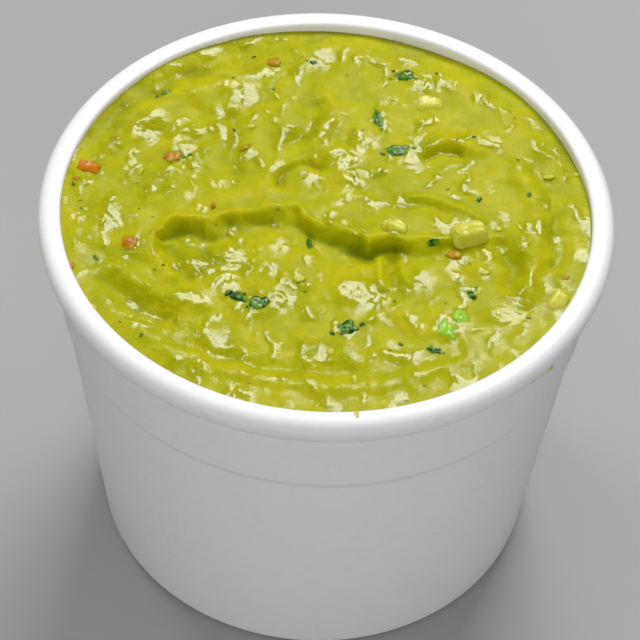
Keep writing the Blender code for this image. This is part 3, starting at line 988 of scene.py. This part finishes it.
def strew(surface, name, skin):
    choice = crumbs[name]
    tree = scatterTree(name + "Tree")
    carrier = bpy.data.objects.new(name, surface.data)
    scene.collection.objects.link(carrier)
    modifier = carrier.modifiers.new("strew", "NODES")
    modifier.node_group = tree
    wanted = {item.name: item.identifier for item in tree.interface.items_tree if item.in_out == "INPUT"}
    for label, identifier in wanted.items():
        if label in choice:
            modifier[identifier] = choice[label]
        elif label == "Skin":
            modifier[identifier] = skin
    bpy.context.view_layer.update()
    graph = bpy.context.evaluated_depsgraph_get()
    mesh = bpy.data.meshes.new_from_object(carrier.evaluated_get(graph))
    carrier.modifiers.remove(modifier)
    mesh.name = name
    carrier.data = mesh
    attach(carrier, "root")
    print(name, len(mesh.polygons), "faces")
    return carrier


rimMarks = {
    "smearTurn": (-47.0, -31.0),  # degrees from +X, along the front right
    "smearThick": 0.15,
    "spotTurn": -35.6,
    "spotHeight": 58.3,
    "spotThick": 0.7,
    "dripTurn": -82.0,
    "dripThick": 0.12,
}


def filmOnCup(name, turns, path, thickness, material):
    # a film on the cup: where its thickness is nothing it dips under the surface of the foam
    path = np.array(path)
    step = np.gradient(path, axis=0)
    outward = np.stack([-step[:, 1], step[:, 0]], 1)
    outward = outward / np.linalg.norm(outward, axis=1)[:, None]
    if outward[:, 0].sum() + outward[:, 1].sum() < 0:
        outward = -outward
    points = []
    for layer in (0, 1):
        for turn in turns:
            c, s = math.cos(math.radians(turn)), math.sin(math.radians(turn))
            for (r, z), (nr, nz) in zip(path, outward):
                thick = thickness(turn, r, z)
                out = (thick if thick > 0 else -0.12) if layer == 0 else -0.35
                points.append(((r + nr * out) * c * mm, (r + nr * out) * s * mm, (z + nz * out) * mm))
    rows = len(turns)
    cols = len(path)
    faces = []
    for layer in (0, 1):
        first = layer * rows * cols
        for row in range(rows - 1):
            for col in range(cols - 1):
                a = first + row * cols + col
                faces.append((a, a + 1, a + cols + 1, a + cols)
                             if layer else (a, a + cols, a + cols + 1, a + 1))
    border = [(0, c) for c in range(cols)] + [(r, cols - 1) for r in range(1, rows)]
    border += [(rows - 1, c) for c in range(cols - 2, -1, -1)] + [(r, 0) for r in range(rows - 2, 0, -1)]
    for k, (row, col) in enumerate(border):
        nextRow, nextCol = border[(k + 1) % len(border)]
        a = row * cols + col
        b = nextRow * cols + nextCol
        faces.append((a, b, b + rows * cols, a + rows * cols))
    return tidyNormals(meshPiece(name, points, faces, material))


def filmFinish():
    look = Finish("thinSmear", IOR=1.4, Roughness=0.3, Specular_IOR_Level=0.3, Subsurface_Weight=0.3,
                  Subsurface_Scale=0.001)
    colour = look.ramp(look.noise(900, 3), [(0.35, (0.52, 0.52, 0.07)), (0.65, (0.66, 0.66, 0.28))])
    return look.finish(Base_Color=colour)


def marksOnRim(material):
    s = rimMarks
    under = [(rimOut - 0.08, rimTop - 2.4), (rimOut - 0.22, rimTop - 3.1), (rimOut - 0.5, rimTop - 3.7),
             (rimOut - 1.0, rimTop - 4.3), (rimOut - 1.5, rimTop - 4.8), (rimOut - 1.85, rimTop - 5.2),
             (outerWall(59.4) + 0.45, 59.4), (outerWall(56.0) + 0.45, 56.0)]
    fineUnder = smoothPath(under, 9)

    def smear(turn, r, z):
        along = (turn - s["smearTurn"][0]) / (s["smearTurn"][1] - s["smearTurn"][0])
        ragged = float(swells(np.array([turn * 0.75]), np.array([z]), 1.1, 71, 3)[0])
        middle = 61.0 - 0.9 * along
        band = math.exp(-((z - middle) / 0.95) ** 2) * math.sin(math.pi * min(max(along, 0), 1))
        thick = s["smearThick"] * (band * 2.2 - 0.45 + ragged * 0.5)
        wide = (turn - s["spotTurn"]) * 0.73 / 1.0
        spot = math.exp(-((wide / 1.05) ** 2 + ((z - s["spotHeight"]) / 0.75) ** 2))
        return max(thick, s["spotThick"] * (spot - 0.35 + 0.2 * ragged))

    filmOnCup("rimSmear", np.linspace(*s["smearTurn"], 90), fineUnder, smear, material)
    over = smoothPath([(40.56, rimTop - 0.6), (40.75, rimTop - 0.25), (41.2, rimTop - 0.07),
                       (41.8, rimTop - 0.03),
                       (42.4, rimTop), (43.0, rimTop - 0.13), (43.5, rimTop - 0.5), (43.85, rimTop - 1.05),
                       (43.99, rimTop - 1.6)], 6)

    def drip(turn, r, z):
        ragged = float(swells(np.array([turn * 2.0]), np.array([r + z]), 0.8, 73, 2)[0])
        wide = (turn - s["dripTurn"]) * 0.74
        band = math.exp(-(wide / (0.42 if r < 41.4 else 0.26)) ** 2)
        end = 1 - float(ease(41.5, 42.5, r + (rimTop - z) * 0.2))
        return s["dripThick"] * (band * 1.5 - 0.5 + 0.5 * ragged) * end - 0.02 * (1 - end)

    filmOnCup("rimDrip", np.linspace(s["dripTurn"] - 1.6, s["dripTurn"] + 1.6, 26), over, drip, material)


studio = {
    "floor": (0.80, 0.80, 0.80),
    "room": 0.25,
}


def areaLight(name, direction, distance, size, radiance, colour=(1, 1, 1), sizeY=None):
    # a soft panel that faces the cup from the direction given as turn from the back and height
    turn, rise = (math.radians(a) for a in direction)
    away = Vector((math.sin(turn) * math.cos(rise), math.cos(turn) * math.cos(rise), math.sin(rise)))
    data = bpy.data.lights.new(name, "AREA")
    data.shape = "RECTANGLE"
    data.size = size
    data.size_y = sizeY or size
    data.energy = radiance * math.pi * data.size * data.size_y
    data.color = colour
    lamp = bpy.data.objects.new(name, data)
    scene.collection.objects.link(lamp)
    aim = Vector((0, 0, 0.05))
    lamp.matrix_world = Matrix.Translation(aim + away * distance) @ away.to_track_quat("Z",
                                                                                       "Y").to_matrix().to_4x4()
    return lamp


def room():
    world = bpy.data.worlds.new("room")
    scene.world = world
    world.use_nodes = True
    world.node_tree.nodes["Background"].inputs["Color"].default_value = (0.97, 0.98, 1.0, 1.0)
    world.node_tree.nodes["Background"].inputs["Strength"].default_value = studio["room"]
    world.cycles_visibility.glossy = False
    areaLight("window", (14, 48), 1.1, 0.50, 10.8, (1.0, 0.99, 0.97))
    areaLight("secondWindow", (-44, 42), 1.2, 0.30, 8.0, (0.98, 0.99, 1.0))
    # the next two only fill the shadows, so wet surfaces don't mirror them
    for lamp in (areaLight("ceiling", (0, 88), 1.3, 1.2, 0.85),
                 areaLight("frontFill", (180, 24), 1.5, 0.9, 3.0)):
        lamp.visible_glossy = False
    side = 3.0
    look = Finish("paleFloor", Roughness=0.6)
    tone = look.noise(3.0, 3)
    colour = look.ramp(tone, [(0.3, (0.335, 0.335, 0.33)), (0.7, (0.365, 0.365, 0.36))])
    look.finish(Base_Color=colour)
    mesh = bpy.data.meshes.new("floor")
    mesh.from_pydata([(-side, -side, 0), (side, -side, 0), (side, side, 0), (-side, side, 0)], [],
                     [(0, 1, 2, 3)])
    mesh.materials.append(look.material)
    floor = bpy.data.objects.new("floor", mesh)
    scene.collection.objects.link(floor)
    scene.view_settings.view_transform = "Standard"
    scene.view_settings.look = "None"


cameraView = {
    "distance": 482.77,  # mm from the aim point on the axis
    "aimHeight": 30.8,
    "rise": 49.064,  # degrees above the table
    "roll": 2.848,
    "focal": 3000.0,  # in widths of 1/640 of the frame
    "offAxis": (-1.309, 33.333),  # the aim inside the frame, same unit
}


def camera():
    s = cameraView
    rise = math.radians(s["rise"])
    ahead = Vector((0, math.cos(rise), -math.sin(rise)))
    right = Vector((1, 0, 0))
    up = Vector((0, math.sin(rise), math.cos(rise)))
    place = (Vector((0, 0, s["aimHeight"])) - ahead * s["distance"]) * mm
    look = (ahead * s["focal"] + right * s["offAxis"][0] + up * s["offAxis"][1]).normalized()
    roll = math.radians(s["roll"])
    side = right * math.cos(roll) + up * math.sin(roll)
    side = (side - look * side.dot(look)).normalized()
    top = side.cross(look)
    turn = Matrix((side, top, -look)).transposed().to_4x4()
    data = bpy.data.cameras.new("camera")
    data.sensor_width = 36.0
    data.lens = s["focal"] / 640 * 36.0
    data.clip_end = 20
    made = bpy.data.objects.new("camera", data)
    scene.collection.objects.link(made)
    made.matrix_world = Matrix.Translation(place) @ turn
    scene.camera = made


foamCup()
print("cup done")
paste = pulpFinish("guacamolePulp")
fill = guacamoleFill(paste)
print("guacamole done")
setPieces()
print("diced pieces done")
choppedHerbs()
smallBits()
print("herbs and bits done")
paleSkin = bpy.data.materials["dicedAvocado"]
crumbSkins = (("paleCrumbs", paleSkin), ("herbFlecks", bpy.data.materials["freshHerb"]))
for crumbName, crumbSkin in crumbSkins:
    strew(fill, crumbName, crumbSkin)
marksOnRim(filmFinish())
print("rim marks done")
room()
camera()
